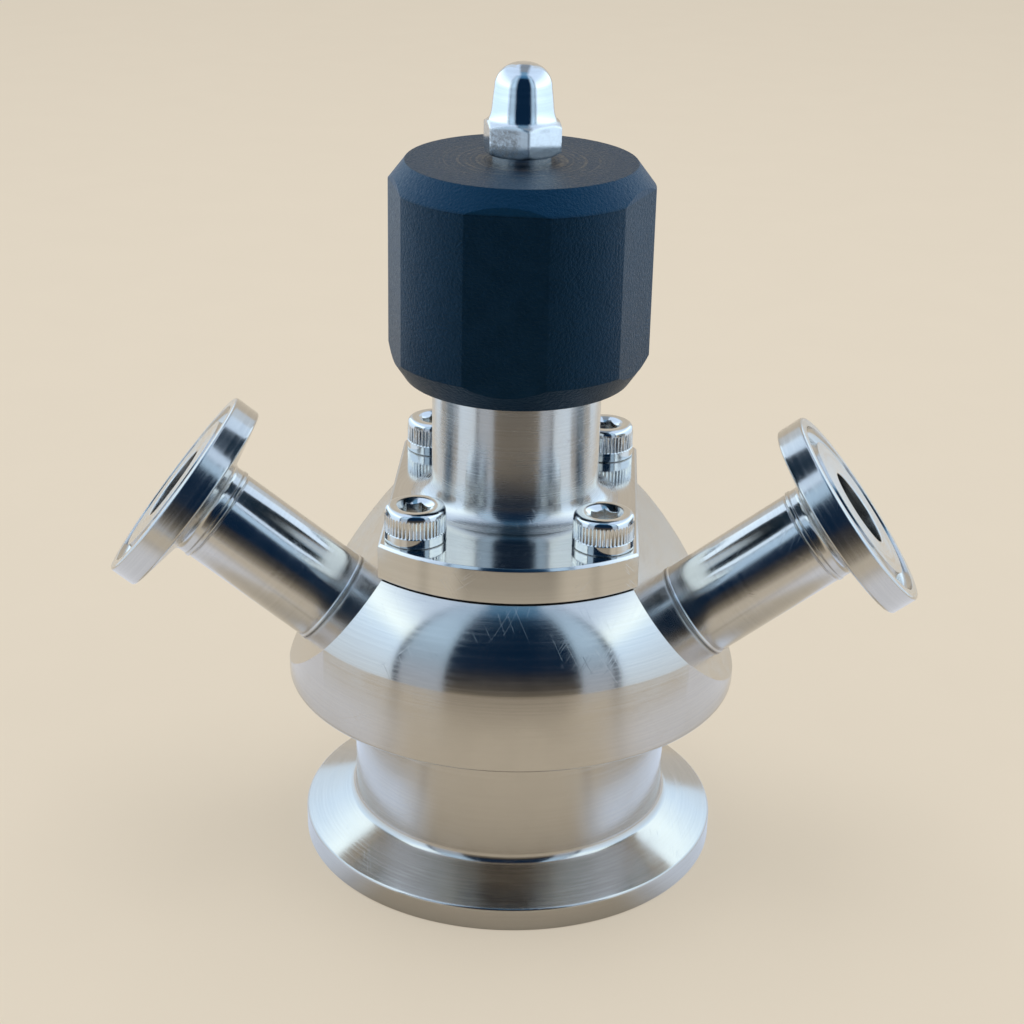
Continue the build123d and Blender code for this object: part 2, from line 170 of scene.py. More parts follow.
def add_loops(bm, loops, closed=True):
    """Skins a list of equally long point loops. A loop of one point is a pole."""
    rows = [[bm.verts.new(Vector(p) * MM) for p in loop] for loop in loops]
    pairs = list(zip(rows, rows[1:]))
    if closed:
        pairs.append((rows[-1], rows[0]))
    for low, high in pairs:
        if len(low) == 1 and len(high) == 1:
            continue
        size = max(len(low), len(high))
        for k in range(size):
            n = (k + 1) % size
            if len(low) == 1:
                bm.faces.new((low[0], high[n], high[k]))
            elif len(high) == 1:
                bm.faces.new((low[k], low[n], high[0]))
            else:
                bm.faces.new((low[k], low[n], high[n], high[k]))
    return rows


def add_lathe(bm, outline, segments=SEGMENTS):
    """Solid of revolution from a closed outline; points on the axis become poles."""
    loops = []
    for r, z in outline:
        if r < 1e-6:
            loops.append([(0, 0, z)])
        else:
            loops.append([(r * cos(2 * pi * k / segments), r * sin(2 * pi * k / segments), z) for k in range(segments)])
    add_loops(bm, loops)


def make_object(name, bm):
    bmesh.ops.recalc_face_normals(bm, faces=bm.faces)
    mesh = bpy.data.meshes.new(name)
    bm.to_mesh(mesh)
    bm.free()
    piece = bpy.data.objects.new(name, mesh)
    bpy.context.collection.objects.link(piece)
    return piece


def lathe(name, outline, segments=SEGMENTS):
    bm = bmesh.new()
    add_lathe(bm, outline, segments)
    return make_object(name, bm)


def subtract(piece, cutters):
    """Cuts the cutters out of the piece and deletes them."""
    for cutter in cutters:
        modifier = piece.modifiers.new("cut", "BOOLEAN")
        modifier.operation = "DIFFERENCE"
        modifier.solver = "EXACT"
        modifier.object = cutter
    bpy.context.view_layer.update()
    evaluated = piece.evaluated_get(bpy.context.evaluated_depsgraph_get())
    cut_mesh = bpy.data.meshes.new_from_object(evaluated)
    piece.modifiers.clear()
    piece.data = cut_mesh
    for cutter in cutters:
        bpy.data.objects.remove(cutter)


def dress(piece, material, body, replaces=(), sharp=24.0):
    """Gives a finished piece its material, its body and the nodes it stands for."""
    piece.data.materials.clear()
    piece.data.materials.append(material)
    piece.data.shade_smooth()
    piece.data.set_sharp_from_angle(angle=radians(sharp))
    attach(piece, body)
    if replaces:
        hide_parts(*replaces)


def port_matrix(side):
    """Turns Z onto a port axis and moves the origin to where the axis meets the spindle."""
    lean = Matrix.Rotation(side * radians(90 - PORT_ANGLE), 4, "Y")
    return Matrix.Translation((0, 0, PORT_ORIGIN_Z * MM)) @ lean


# ================================================================ materials
class Finish:
    """A material being built from nodes, with its coordinates in millimetres."""

    def __init__(self, name):
        self.material = bpy.data.materials.new(name)
        self.material.use_nodes = True
        self.tree = self.material.node_tree
        self.tree.nodes.clear()
        self.surface = self.node("ShaderNodeBsdfPrincipled")
        output = self.node("ShaderNodeOutputMaterial")
        self.link(self.surface.outputs["BSDF"], output.inputs["Surface"])
        place = self.node("ShaderNodeTexCoord").outputs["Object"]
        self.place = self.vector("SCALE", place, scale=1 / MM)

    def node(self, kind, **settings):
        made = self.tree.nodes.new(kind)
        for key, value in settings.items():
            setattr(made, key, value)
        return made

    def link(self, source, target):
        self.tree.links.new(source, target)

    def feed(self, socket, value):
        if isinstance(value, (int, float, tuple)):
            socket.default_value = value
        else:
            self.link(value, socket)

    def vector(self, operation, first, second=None, scale=None):
        made = self.node("ShaderNodeVectorMath", operation=operation)
        self.feed(made.inputs[0], first)
        if second is not None:
            self.feed(made.inputs[1], second)
        if scale is not None:
            self.feed(made.inputs["Scale"], scale)
        return made.outputs["Value" if operation in ("LENGTH", "DOT_PRODUCT") else "Vector"]

    def math(self, operation, first, second=0.0, third=0.0):
        made = self.node("ShaderNodeMath", operation=operation)
        self.feed(made.inputs[0], first)
        self.feed(made.inputs[1], second)
        self.feed(made.inputs[2], third)
        return made.outputs["Value"]

    def parts(self, vector):
        made = self.node("ShaderNodeSeparateXYZ")
        self.link(vector, made.inputs[0])
        return made.outputs

    def join(self, x, y, z):
        made = self.node("ShaderNodeCombineXYZ")
        for socket, value in zip(made.inputs, (x, y, z)):
            self.feed(socket, value)
        return made.outputs[0]

    def noise(self, vector, scale, detail=2.0, roughness=0.5):
        made = self.node("ShaderNodeTexNoise")
        self.link(vector, made.inputs["Vector"])
        made.inputs["Scale"].default_value = scale
        made.inputs["Detail"].default_value = detail
        made.inputs["Roughness"].default_value = roughness
        return made.outputs[0]

    def remap(self, value, low_in, high_in, low_out, high_out):
        made = self.node("ShaderNodeMapRange")
        self.feed(made.inputs["Value"], value)
        for socket, number in zip(("From Min", "From Max", "To Min", "To Max"), (low_in, high_in, low_out, high_out)):
            made.inputs[socket].default_value = number
        return made.outputs["Result"]

    def mix(self, amount, first, second):
        made = self.node("ShaderNodeMix", data_type="RGBA")
        self.feed(made.inputs["Factor"], amount)
        for socket, value in zip((made.inputs[6], made.inputs[7]), (first, second)):
            self.feed(socket, value)
        return made.outputs[2]

    def bump(self, height, strength, distance, normal=None):
        made = self.node("ShaderNodeBump")
        made.inputs["Strength"].default_value = strength
        made.inputs["Distance"].default_value = distance * MM
        self.link(height, made.inputs["Height"])
        if normal is not None:
            self.link(normal, made.inputs["Normal"])
        return made.outputs["Normal"]

    def rounded(self, radius):
        """Normal with edges rounded by a radius in millimetres."""
        made = self.node("ShaderNodeBevel", samples=4)
        made.inputs["Radius"].default_value = radius * MM
        return made.outputs["Normal"]

    def hairlines(self):
        """Thin stray scratches in two directions, 1 on a line and 0 elsewhere."""
        patch = self.remap(self.noise(self.place, 0.22, detail=1.0), 0.55, 0.62, 0.0, 1.0)
        found = None
        for lean in (0.6, -0.9):
            turned = self.node("ShaderNodeVectorRotate", rotation_type="AXIS_ANGLE")
            turned.inputs["Axis"].default_value = (0.3, 1.0, 0.2)
            turned.inputs["Angle"].default_value = lean
            self.link(self.place, turned.inputs["Vector"])
            drawn = self.vector("MULTIPLY", turned.outputs[0], (1.1, 0.045, 0.045))
            level = self.math("ABSOLUTE", self.math("SUBTRACT", self.noise(drawn, 1.0, detail=1.0), 0.5))
            line = self.remap(level, 0.0, 0.008, 1.0, 0.0)
            found = self.math("MAXIMUM", found, line) if found else line
        return self.math("MULTIPLY", found, patch)

    def around(self):
        """Coordinates that run with lathe marks: radius, height and a slow drift round the axis."""
        x, y, z = self.parts(self.place)
        radius = self.vector("LENGTH", self.join(x, y, 0.0))
        drift = self.noise(self.place, 0.08, detail=1.0)
        return self.join(radius, z, self.math("MULTIPLY", drift, 0.6))


def metal(
    name, colour, rough, spread=0.04, grain=6.0, grain_bump=0.0, anisotropy=0.0, edge=0.12, patch=0.03, scratch=0.0, shade_below_z=None
):
    """Steel with lathe marks: grain is lines per millimetre, spread how much they vary the roughness. The last argument
    gives a height below which painted shade darkens the steel to brown, heavier on the left side, and roughens it.
    """
    f = Finish(name)
    rings = f.noise(f.around(), grain, detail=3.0, roughness=0.7)
    cloud = f.noise(f.place, 0.25, detail=3.0)
    roughness = f.math("ADD", f.remap(rings, 0.3, 0.7, rough - spread, rough + spread), f.remap(cloud, 0.3, 0.7, -patch, patch))
    dim = tuple(0.93 * c for c in colour)
    tone = f.mix(f.remap(rings, 0.35, 0.65, 0.0, 1.0), (*dim, 1), (*colour, 1))
    if shade_below_z:
        # painted shade: below the given height the colour is darkened to brown, most on the left side and broken up by
        # noise, and the roughness is raised there
        low = f.remap(f.parts(f.place)[2], shade_below_z - 0.5, shade_below_z - 0.3, 1.0, 0.0)
        side = f.remap(f.parts(f.place)[0], 0.1, -0.5, 0.15, 1.0)
        fine = f.remap(f.noise(f.place, 2.2, detail=6.0, roughness=0.75), 0.36, 0.6, 0.0, 1.0)
        scuff_and_shade = f.math("MULTIPLY", f.math("MULTIPLY", low, side), fine)
        tone = f.mix(f.math("MULTIPLY", scuff_and_shade, 0.7), tone, (0.3, 0.25, 0.205, 1))
        roughness = f.math("ADD", roughness, f.math("MULTIPLY", scuff_and_shade, 0.16))
    f.feed(f.surface.inputs["Base Color"], tone)
    f.feed(f.surface.inputs["Roughness"], roughness)
    f.surface.inputs["Metallic"].default_value = 1.0
    normal = f.rounded(edge)
    if grain_bump:
        normal = f.bump(rings, 1.0, grain_bump, normal)
    if scratch:
        normal = f.bump(f.hairlines(), 1.0, -scratch, normal)
    f.feed(f.surface.inputs["Normal"], normal)
    if anisotropy:
        f.surface.inputs["Anisotropic"].default_value = anisotropy
        f.surface.inputs["Anisotropic Rotation"].default_value = 0.25  # the marks run round, so light spreads across them
        tangent = f.node("ShaderNodeTangent", direction_type="RADIAL", axis="Z")
        f.link(tangent.outputs[0], f.surface.inputs["Tangent"])
    return f.material


def knob_plastic():
    """Moulded blue-black plastic: fine grain, a turned line under the top bevel, scuffed rings round the nut, a painted
    blue sheen on the top bevel and a painted lighter top face.
    """
    f = Finish("knob_plastic")
    x, y, z = f.parts(f.place)
    radius = f.vector("LENGTH", f.join(x, y, 0.0))
    grain = f.noise(f.place, 2.9, detail=3.0, roughness=0.7)
    cloud = f.noise(f.place, 0.35, detail=2.0)
    patch = f.noise(f.place, 1.1, detail=3.0)
    rings = f.noise(f.join(radius, 0.0, f.math("MULTIPLY", cloud, 0.5)), 2.6, detail=3.0)
    on_top = f.remap(z, KNOB_TOP_Z - 0.1, KNOB_TOP_Z - 0.02, 0.0, 1.0)
    near_nut = f.remap(radius, 11.5, 5.5, 0.0, 1.0)
    scuff_and_shade = f.math("MULTIPLY", f.math("MULTIPLY", on_top, near_nut), f.remap(rings, 0.47, 0.62, 0.0, 1.0))
    scuff_and_shade = f.math("MULTIPLY", scuff_and_shade, f.remap(patch, 0.35, 0.6, 0.25, 1.0))
    specks = f.math("MULTIPLY", on_top, f.remap(f.noise(f.place, 3.0, detail=1.0), 0.68, 0.74, 0.0, 1.0))
    line_z = KNOB_TOP_Z - KNOB_TOP_BEVEL_H - 0.05
    from_line = f.math("ABSOLUTE", f.math("SUBTRACT", z, line_z))
    line = f.math("MULTIPLY", f.remap(from_line, 0.09, 0.03, 0.0, 1.0), f.remap(patch, 0.4, 0.55, 0.4, 1.0))
    base = f.mix(f.remap(cloud, 0.35, 0.7, 0.0, 1.0), (0.0010, 0.0046, 0.0115, 1), (0.0022, 0.0080, 0.0185, 1))
    # painted reflection: above the line under the top bevel the base colour turns a brighter blue, the sheen of the
    # bevel
    base = f.mix(f.remap(z, line_z, line_z + 0.3, 0.0, 0.8), base, (0.0014, 0.021, 0.058, 1))
    # painted sheen: the top face is painted a lighter blue-grey, varied in patches
    top_sheen = f.math("MULTIPLY", on_top, f.remap(patch, 0.3, 0.7, 0.35, 1.0))
    top_sheened = f.mix(top_sheen, base, (0.009, 0.022, 0.038, 1))
    worn = f.mix(f.math("MULTIPLY", scuff_and_shade, 0.75), top_sheened, (0.1, 0.078, 0.052, 1))
    worn = f.mix(f.math("MULTIPLY", specks, 0.5), worn, (0.14, 0.11, 0.08, 1))
    f.feed(f.surface.inputs["Base Color"], f.mix(line, worn, (0.0004, 0.001, 0.002, 1)))
    rough = f.math("ADD", f.remap(grain, 0.3, 0.7, 0.34, 0.5), f.math("MULTIPLY", scuff_and_shade, -0.1))
    f.feed(f.surface.inputs["Roughness"], rough)
    f.surface.inputs["Specular IOR Level"].default_value = 0.42
    f.surface.inputs["Specular Tint"].default_value = (0.12, 0.55, 1.0, 1)
    f.feed(f.surface.inputs["Normal"], f.bump(grain, 1.0, 0.17, f.rounded(0.16)))
    return f.material


def soft_rubber(name, colour, rough):
    f = Finish(name)
    cloud = f.noise(f.place, 1.6, detail=3.0)
    pale = tuple(min(1.0, 1.15 * c) for c in colour)
    f.feed(f.surface.inputs["Base Color"], f.mix(cloud, (*colour, 1), (*pale, 1)))
    f.feed(f.surface.inputs["Roughness"], f.remap(cloud, 0.3, 0.7, rough - 0.06, rough + 0.06))
    f.feed(f.surface.inputs["Normal"], f.bump(cloud, 0.3, 0.03))
    return f.material


body_steel = metal("body_steel", (0.6, 0.575, 0.54), 0.18, spread=0.05, grain=5.0, grain_bump=0.003, anisotropy=0.7, scratch=0.003)
flange_steel = metal("flange_steel", (0.61, 0.6, 0.58), 0.17, spread=0.06, grain=3.2, grain_bump=0.004, anisotropy=0.6)
tube_steel = metal("tube_steel", (0.63, 0.62, 0.605), 0.15, spread=0.03, grain=3.0, grain_bump=0.001, anisotropy=0.75, scratch=0.003)
plate_steel = metal("plate_steel", (0.66, 0.65, 0.63), 0.1, spread=0.02, grain=2.0, scratch=0.002)
neck_steel = metal("neck_steel", (0.62, 0.605, 0.585), 0.24, spread=0.05, grain=5.0, grain_bump=0.002, anisotropy=0.85, scratch=0.004)
bright_steel = metal("bright_steel", (0.7, 0.705, 0.7), 0.1, spread=0.03, grain=4.0, grain_bump=0.0006, edge=0.12, patch=0.03)
# the nut's hexagon gets painted shade on its lower part
nut_steel = metal("nut_steel", (0.72, 0.725, 0.72), 0.085, spread=0.03, grain=2.5, grain_bump=0.001, edge=0.45, patch=0.05, shade_below_z=CAP_NUT_BOTTOM_Z + CAP_NUT_HEX_H)
inner_steel = metal("inner_steel", (0.55, 0.54, 0.52), 0.28, grain=5.0, grain_bump=0.003)
bronze = metal("bronze", (0.6, 0.4, 0.17), 0.3, grain=5.0, grain_bump=0.003)
silicone = soft_rubber("silicone", (0.72, 0.7, 0.66), 0.5)
black_rubber = soft_rubber("black_rubber", (0.015, 0.015, 0.016), 0.55)
plastic = knob_plastic()


# ================================================================ valve body
def build_body():
    back_top_z = TANK_RIM_H + (TANK_FLANGE_R - TANK_NECK_R) * tan(radians(TANK_BACK_ANGLE))
    g, s = TANK_GROOVE_R, TANK_GROOVE_SECTION_R
    groove = arc((g - s, 0), (g + s, 0), s * 1.001, steps=14)
    shoulder = arc((DISC_R, BAND_TOP_Z), (SHOULDER_TOP_R, BODY_TOP_Z), SHOULDER_ARC_R, steps=28, left=False)
    corners = (
        [(ORIFICE_R, 0, 0.2), (g - s, 0)]
        + groove
        + [
            (g + s, 0),
            (TANK_FLANGE_R, 0, 0.3),
            (TANK_FLANGE_R, TANK_RIM_H, 0.35),
            (TANK_NECK_R, back_top_z, 1.2),
            (TANK_NECK_R, DISC_BOTTOM_Z, 0.25),
            (DISC_R, DISC_BOTTOM_Z, 0.35),
            (DISC_R, BAND_TOP_Z),
        ]
        + shoulder
        + [
            (SHOULDER_TOP_R, BODY_TOP_Z, 0.15),
            (RECESS_R, BODY_TOP_Z),
            (RECESS_R, RECESS_Z),
            (CHAMBER_R, RECESS_Z),
            (CHAMBER_R, SEAT_Z + CHAMBER_R - ORIFICE_R),
            (ORIFICE_R, SEAT_Z),
        ]
    )
    body = lathe("body_turned", soften(corners), segments=384)
    cutters = []
    for side in (-1, 1):
        bm = bmesh.new()
        bmesh.ops.create_cube(bm, size=1)
        lift = PORT_FLAT_L + DISC_R
        stretch = Matrix.Diagonal((3 * DISC_R * MM, 3 * DISC_R * MM, 2 * DISC_R * MM, 1))
        bm.transform(port_matrix(side) @ Matrix.Translation((0, 0, lift * MM)) @ stretch)
        cutters.append(make_object("flat_cutter", bm))
        passage = [(0, CHAMBER_R / 2), (PORT_BORE_R, CHAMBER_R / 2), (PORT_BORE_R, PORT_FLAT_L + 1), (0, PORT_FLAT_L + 1)]
        bore = lathe("bore_cutter", passage, segments=96)
        bore.data.transform(port_matrix(side))
        cutters.append(bore)
    subtract(body, cutters)
    dress(body, body_steel, "valve", replaces=("valve_body",))
    return body


# ================================================================ sample ports
def build_port(side, name):
    bead_end = PORT_FLAT_L + 0.42
    tube_outline = (
        [(PORT_BORE_R, PORT_FLAT_L), (PORT_TUBE_R, PORT_FLAT_L)]
        + arc((PORT_TUBE_R, PORT_FLAT_L), (PORT_TUBE_R, bead_end), 0.24, steps=8, left=False)
        + [
            (PORT_TUBE_R, bead_end),
            (PORT_TUBE_R, PORT_WELD_L - 0.2),
            (PORT_TUBE_R - 0.08, PORT_WELD_L - 0.05, 0.08),
            (PORT_TUBE_R - 0.08, PORT_WELD_L),
            (PORT_BORE_R, PORT_WELD_L),
        ]
    )
    tube = lathe(f"{name}_tube", soften(tube_outline), segments=256)
    tube.matrix_world = port_matrix(side)
    dress(tube, tube_steel, "valve", replaces=(f"{name}_port_tube",))

    back_l = PORT_FACE_L - PORT_RIM_H
    hub_end_l = back_l - (PORT_FLANGE_R - PORT_TUBE_R) * tan(radians(PORT_BACK_ANGLE))
    g, s = PORT_GROOVE_R, PORT_GROOVE_SECTION_R
    groove = arc((g + s, PORT_FACE_L), (g - s, PORT_FACE_L), s * 1.001, steps=12)
    corners = (
        [
            (PORT_BORE_R, PORT_WELD_L),
            (PORT_TUBE_R - 0.1, PORT_WELD_L),
            (PORT_TUBE_R + 0.16, PORT_WELD_L + 0.12, 0.15),
            (PORT_TUBE_R + 0.16, PORT_WELD_L + 0.5, 0.15),
            (PORT_TUBE_R + 0.04, PORT_WELD_L + 0.7, 0.15),
            (PORT_TUBE_R + 0.04, hub_end_l, PORT_HUB_FILLET),
            (PORT_FLANGE_R, back_l, 0.3),
            (PORT_FLANGE_R, PORT_FACE_L, 0.3),
            (g + s, PORT_FACE_L),
        ]
        + groove
        + [
            (g - s, PORT_FACE_L),
            (PORT_BORE_R, PORT_FACE_L, 0.15),
        ]
    )
    ferrule = lathe(f"{name}_ferrule", soften(corners, steps=8), segments=SEGMENTS)
    ferrule.matrix_world = port_matrix(side)
    dress(ferrule, flange_steel, "valve", replaces=(f"{name}_port_ferrule",))


# ================================================================ bonnet
def plate_loop(inset, z, arc_steps=48, side_steps=12):
    """Outline of the clamp plate at one level: two arcs joined by straight sides, all moved in by inset."""
    radius, half_width = PLATE_R - inset, PLATE_HALF_WIDTH - inset
    reach = acos(half_width / radius)
    points = []
    for turn in (0, pi):
        for k in range(arc_steps):
            a = turn + reach + (pi - 2 * reach) * k / arc_steps
            points.append((radius * cos(a), radius * sin(a), z))
        corner_y = radius * sin(reach)
        for k in range(side_steps):
            y = corner_y * (1 - 2 * k / side_steps)
            flip = 1 if turn == 0 else -1
            points.append((-flip * half_width, flip * y, z))
    return points


def build_bonnet():
    bm = bmesh.new()
    lip_z = PLATE_BOTTOM_Z - PLATE_LIP
    levels = [(0.5, lip_z), (0.08, lip_z), (0.0, lip_z + 0.08), (0.0, lip_z + 0.3)]
    levels += [(0.0, PLATE_TOP_Z - PLATE_BEVEL - 0.1), (0.0, PLATE_TOP_Z - PLATE_BEVEL)]
    levels += [(PLATE_BEVEL, PLATE_TOP_Z), (PLATE_BEVEL + 0.15, PLATE_TOP_Z)]
    rows = add_loops(bm, [plate_loop(inset, z) for inset, z in levels], closed=False)
    bm.faces.new(rows[0])
    bm.faces.new(rows[-1])
    plate = make_object("bonnet_plate", bm)
    dress(plate, plate_steel, "valve", replaces=("bonnet",))

    foot_r = NECK_R + NECK_FILLET
    fillet = arc((foot_r, PLATE_TOP_Z), (NECK_R, PLATE_TOP_Z + NECK_FILLET), NECK_FILLET * 1.0001, steps=14)
    corners = [(0, PLATE_TOP_Z - 0.5), (foot_r, PLATE_TOP_Z - 0.5), (foot_r, PLATE_TOP_Z)] + fillet
    corners += [(NECK_R, PLATE_TOP_Z + NECK_FILLET), (NECK_R, NECK_TOP_Z, 0.3), (0, NECK_TOP_Z)]
    neck = lathe("bonnet_neck", soften(corners), segments=SEGMENTS)
    dress(neck, neck_steel, "valve", replaces=("bonnet",))

    spigot = [(6.5, PLATE_BOTTOM_Z - 1), (RECESS_R - 0.1, PLATE_BOTTOM_Z - 1), (RECESS_R - 0.1, PLATE_BOTTOM_Z + 0.2), (6.5, PLATE_BOTTOM_Z + 0.2)]
    ring = lathe("bonnet_spigot", spigot, segments=128)
    dress(ring, inner_steel, "valve", replaces=("bonnet",))


# ================================================================ screws
def screw_head_mesh():
    """Socket head with a knurled band, a plain band below it, a rounded top edge and a countersunk hexagon socket."""
    teeth_samples = 8
    count = SCREW_TEETH * teeth_samples
    levels = [(0, 0, 0), (3.3, 0.0, 0), (3.42, 0.03, 0), (3.5, 0.12, 0), (3.5, 0.3, 0), (3.5, 1.05, 0), (3.5, 1.15, 0)]
    levels += [(3.46, 1.22, 0.5), (3.46, 1.36, 1), (3.46, 3.05, 1), (3.46, 3.2, 0.5), (3.44, 3.26, 0)]
    round_r = 0.62
    for k in range(7):
        a = pi / 2 * k / 6
        levels.append((3.42 - round_r + round_r * cos(a), SCREW_HEAD_H - round_r + round_r * sin(a), 0))
    levels += [(2.7, 4.0, 0), (2.2, 4.0, 0), (2.1, 3.97, 0), (1.45, 3.4, 0), (0, 3.4, 0)]
    depth = 0.13
    loops = []
    for r, z, knurl in levels:
        if r == 0:
            loops.append([(0, 0, z)])
            continue
        loop = []
        for k in range(count):
            a = 2 * pi * k / count
            phase = (k % teeth_samples) / teeth_samples
            dip = depth * knurl * (0.5 + 0.5 * cos(2 * pi * phase)) ** 1.5
            loop.append(((r - dip) * cos(a), (r - dip) * sin(a), z))
        loops.append(loop)
    bm = bmesh.new()
    add_loops(bm, loops)
    head = make_object("screw_head", bm)
    bm = bmesh.new()
    corner = 1.5 / cos(radians(30))
    ring = [(corner * cos(radians(60 * k)), corner * sin(radians(60 * k))) for k in range(6)]
    rows = add_loops(bm, [[(x, y, 1.9) for x, y in ring], [(x, y, 4.4) for x, y in ring]], closed=False)
    bm.faces.new(rows[0])
    bm.faces.new(rows[1])
    subtract(head, [make_object("socket_cutter", bm)])
    mesh = head.data
    bpy.data.objects.remove(head)
    return mesh


def build_screws():
    mesh = screw_head_mesh()
    turns = iter((12, 47, 28, 5))
    for sx in (-1, 1):
        for sy in (-1, 1):
            where = f"{'left' if sx < 0 else 'right'}_{'front' if sy < 0 else 'back'}"
            screw = bpy.data.objects.new(f"screw_{where}", mesh.copy())
            bpy.context.collection.objects.link(screw)
            place = Vector((sx * SCREW_X, sy * SCREW_Y, PLATE_TOP_Z)) * MM
            screw.matrix_world = Matrix.Translation(place) @ Matrix.Rotation(radians(next(turns)), 4, "Z")
            dress(screw, bright_steel, "valve", replaces=("bonnet_screws",), sharp=28)


# ================================================================ knob
def knob_loop(radius, z, flat_steps=14, land_steps=14):
    """One level of the knob: flats and lands meet at matching points on every level."""
    points = []
    least = radians(0.5)
    half = max(acos(min(1.0, KNOB_FLAT_OFFSET / radius)), least)
    pitch = 2 * pi / KNOB_FLATS
    for flat in range(KNOB_FLATS):
        centre = radians(KNOB_FLAT_AZIMUTH) + flat * pitch
        for k in range(flat_steps):
            a = atan2(sin(half) * (2 * k / flat_steps - 1), cos(half)) if half > least else half * (2 * k / flat_steps - 1)
            r = min(radius, KNOB_FLAT_OFFSET / cos(a)) if half > least else radius
            points.append((r * cos(centre + a), r * sin(centre + a), z))
        for k in range(land_steps):
            a = centre + half + (pitch - 2 * half) * k / land_steps
            points.append((radius * cos(a), radius * sin(a), z))
    return points


def build_knob():
    steps = 9
    rise = [KNOB_FLAT_OFFSET + (KNOB_R - KNOB_FLAT_OFFSET) * (k / steps) ** 2 for k in range(1, steps + 1)]
    low = lambda r: KNOB_BOTTOM_Z + KNOB_BOTTOM_BEVEL_H * (r - KNOB_BOTTOM_FACE_R) / (KNOB_R - KNOB_BOTTOM_FACE_R)
    high = lambda r: KNOB_TOP_Z - KNOB_TOP_BEVEL_H * (r - KNOB_TOP_FACE_R) / (KNOB_R - KNOB_TOP_FACE_R)
    levels = [(KNOB_BORE_R, KNOB_BORE_TOP_Z), (KNOB_BORE_R, KNOB_BOTTOM_Z + 0.4), (KNOB_BORE_R + 0.3, KNOB_BOTTOM_Z)]
    levels += [(KNOB_BOTTOM_FACE_R - 0.2, KNOB_BOTTOM_Z), (KNOB_BOTTOM_FACE_R, KNOB_BOTTOM_Z)]
    levels += [(r, low(r)) for r in (13.6, KNOB_FLAT_OFFSET)] + [(r, low(r)) for r in rise]
    levels += [(r, high(r)) for r in reversed(rise)] + [(r, high(r)) for r in (KNOB_FLAT_OFFSET, 13.6)]
    levels += [(KNOB_TOP_FACE_R, KNOB_TOP_Z), (KNOB_TOP_FACE_R - 0.2, KNOB_TOP_Z), (3.4, KNOB_TOP_Z)]
    bm = bmesh.new()
    loops = [[(0, 0, KNOB_BORE_TOP_Z)]] + [knob_loop(r, z) for r, z in levels] + [[(0, 0, KNOB_TOP_Z)]]
    add_loops(bm, loops, closed=False)
    knob = make_object("knob_grip", bm)
    dress(knob, plastic, "handwheel", replaces=("knob",), sharp=12)


# ================================================================ cap nut and hub collar
def build_cap_nut():
    inner = CAP_NUT_AF / 2
    corner = inner / cos(radians(30))
    top = CAP_NUT_BOTTOM_Z + CAP_NUT_HEX_H
    samples = 40

    def hex_loop(level):
        """level -1 and 2 are the flat ends' rims, 0 and 1 the hexagon's lower and upper outline."""
        loop = []
        for k in range(6 * samples):
            a = radians(60 * (k / samples))
            r = inner / cos((k % samples) / samples * radians(60) - radians(30))
            drop = CAP_NUT_BEVEL_H * (r - inner) / (corner - inner)
            z = CAP_NUT_BOTTOM_Z + drop if level in (-1, 0) else top - drop
            if level in (-1, 2):
                r, z = inner - 0.02, CAP_NUT_BOTTOM_Z if level == -1 else top
            a += radians(CAP_NUT_TURN)
            loop.append((r * cos(a), r * sin(a), z))
        return loop

    bm = bmesh.new()
    add_loops(bm, [[(0, 0, CAP_NUT_BOTTOM_Z)], hex_loop(-1), hex_loop(0), hex_loop(1), hex_loop(2), [(0, 0, top)]], closed=False)
    dome = [(0, top - 0.5), (3.85, top - 0.5), (3.85, top)]
    dome += [(3.72, top + 0.25), (3.6, top + 0.6), (3.5, top + 1.0), (3.44, top + 1.5), (3.38, top + 2.2), (3.3, top + 2.9)]
    crown_steps = 16
    for k in range(crown_steps + 1):
        t = k / crown_steps
        r = 3.2 * (1 - t) ** 3 + 3 * 3.2 * t * (1 - t) ** 2 + 3 * 2.13 * t * t * (1 - t)
        z0 = CAP_NUT_TOP_Z - 2.7
        z = z0 * (1 - t) ** 3 + 3 * (z0 + 1.35) * t * (1 - t) ** 2 + 3 * CAP_NUT_TOP_Z * t * t * (1 - t) + CAP_NUT_TOP_Z * t ** 3
        dome.append((r, z))
    add_lathe(bm, dome, segments=128)
    nut = make_object("cap_nut", bm)
    dress(nut, nut_steel, "handwheel", replaces=("acorn_nut",), sharp=22)

    collar = [(0, KNOB_TOP_Z - 2), (3.33, KNOB_TOP_Z - 2), (3.33, CAP_NUT_BOTTOM_Z, 0.08), (0, CAP_NUT_BOTTOM_Z)]
    piece = lathe("hub_collar", soften(collar), segments=96)
    dress(piece, bright_steel, "handwheel", replaces=("knob_hub",))


# ================================================================ diaphragm, seen through the tank orifice
def build_diaphragm():
    outline = [
        (0, 5.2),
        (5.1, 5.2, 0.4),
        (7.4, 7.47, 0.4),
        (7.4, 10.2, 0.4),
        (6.6, 11.8, 0.5),
        (6.6, RECESS_Z, 0.3),
        (12.4, RECESS_Z),
        (12.4, PLATE_BOTTOM_Z - 1),
        (5.2, PLATE_BOTTOM_Z - 1),
        (5.2, 11.0),
        (0, 11.0),
    ]
    skin = lathe("diaphragm_skin", soften(outline), segments=96)
    skin.data.materials.append(silicone)
    skin.data.shade_smooth()
    skin.data.set_sharp_from_angle(angle=radians(30))
    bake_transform(skin)
    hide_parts("diaphragm")


def dress_inner_nodes():
    """The pieces inside keep their CAD shape and get their finishes."""
    finishes = {
        inner_steel: ("plunger", "diaphragm_stud", "plunger_guide_pin", "spindle_clip", "spindle", "nut_lock_pin"),
        bronze: ("spindle_nut", "thrust_disc"),
        black_rubber: ("neck_o_ring", "plunger_o_ring"),
    }
    for material, names in finishes.items():
        for name in names:
            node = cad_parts[name]
            node.data.materials.clear()
            node.data.materials.append(material)


